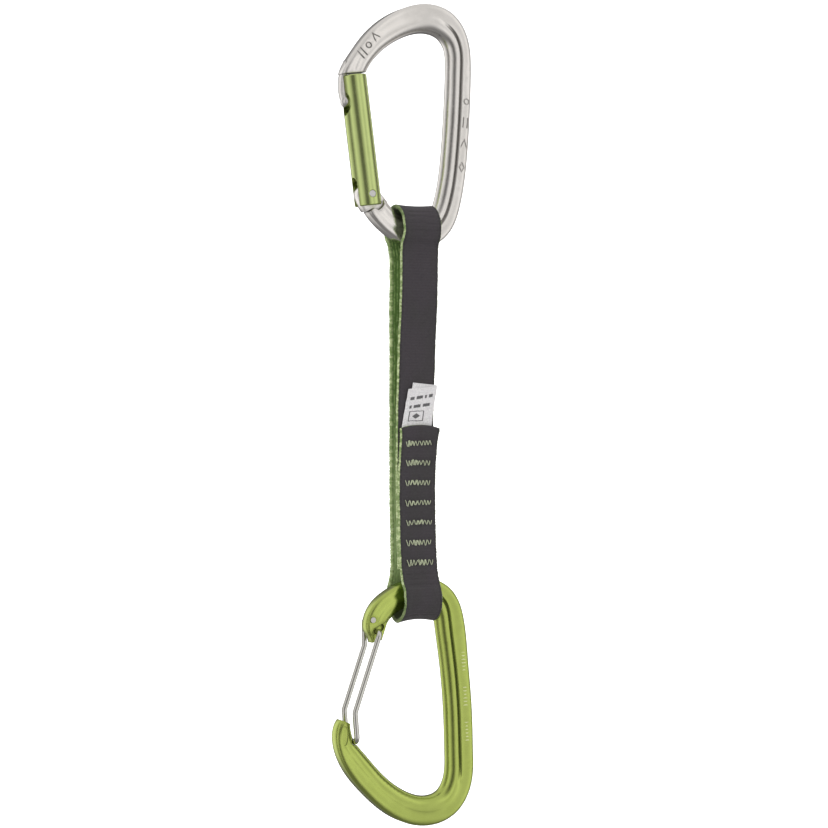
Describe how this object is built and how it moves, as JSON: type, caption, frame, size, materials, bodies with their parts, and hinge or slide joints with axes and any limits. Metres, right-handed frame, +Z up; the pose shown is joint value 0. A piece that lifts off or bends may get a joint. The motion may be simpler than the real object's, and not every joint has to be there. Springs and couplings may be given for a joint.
{
  "type": "climbing quickdraw",
  "caption": "Climbing quickdraw: a solid-gate bolt carabiner and a wire-gate rope carabiner joined by a short open webbing sling with bar-tacked overlap.",
  "frame": {"origin": "the bolt hanger's seat: the inside of the bolt carabiner's wide arch, straight above the sling's centre line", "axes": "+Z up along the draw, +X from the gates towards the spines, +Y from the front to the back; both carabiners lie in the XZ plane"},
  "size_m": [0.0644, 0.0206, 0.3473],
  "materials": {
    "bare_aluminium": "satin, tumbled and polished",
    "lime_anodised": "satin, lime green anodised",
    "green_anodised": "satin, green anodised",
    "stainless_wire": "polished",
    "steel_rivet": "polished",
    "spring_steel": "bright",
    "follower_steel": "turned",
    "webbing": "woven, charcoal outside and green inside",
    "thread": "pale green sewing thread",
    "tag_cloth": "printed light grey cloth"
  },
  "bodies": {
    "bolt_carabiner": {"bolt_carabiner_body": "bare_aluminium"},
    "bolt_gate": {"bolt_gate": "lime_anodised", "bolt_gate_pin": "steel_rivet", "bolt_gate_spring": "spring_steel"},
    "gate_plunger": {"bolt_gate_plunger": "follower_steel"},
    "sling_upper": {"sling_webbing_upper": "webbing"},
    "sling_lower": {"sling_webbing_lower": "webbing", "bar_tacks": "thread", "sling_label": "tag_cloth"},
    "rope_carabiner": {"rope_carabiner_body": "green_anodised"},
    "wire_gate": {"wire_gate": "stainless_wire"}
  },
  "joints": [
    {"name": "bolt_gate_hinge", "type": "hinge", "parent": "bolt_carabiner", "child": "bolt_gate", "pos_m": [-0.0211, 0, -0.0688], "axis": [0, 1, 0], "range_deg": [0, 28], "stiffness_Nm_per_rad": 0.06, "springref_deg": -17.19},
    {"name": "gate_plunger_slide", "type": "slide", "parent": "bolt_gate", "child": "gate_plunger", "axis": [-0.1323, 0, 0.9912], "range_m": [0, 0.00112], "deforming": ["bolt_gate_spring"]},
    {"name": "sling_swing", "type": "hinge", "parent": "bolt_carabiner", "child": "sling_upper", "pos_m": [0, 0, -0.0829], "axis": [1, 0, 0], "range_deg": [-90, 90]},
    {"name": "sling_twist", "type": "hinge", "parent": "sling_upper", "child": "sling_lower", "pos_m": [0, 0, -0.1166], "axis": [0, 0, 1], "range_deg": [-90, 90]},
    {"name": "rope_carabiner_swing", "type": "hinge", "parent": "sling_lower", "child": "rope_carabiner", "pos_m": [0, 0, -0.2376], "axis": [1, 0, 0], "range_deg": [-90, 90]},
    {"name": "wire_gate_hinge", "type": "hinge", "parent": "rope_carabiner", "child": "wire_gate", "pos_m": [-0.0199, 0, -0.2466], "axis": [0, -1, 0], "range_deg": [0, 28], "stiffness_Nm_per_rad": 0.03, "springref_deg": -17.19}
  ],
  "couplings": [
    {"joint": "gate_plunger_slide", "follows": "bolt_gate_hinge", "m_per_rad": 0.0023}
  ]
}
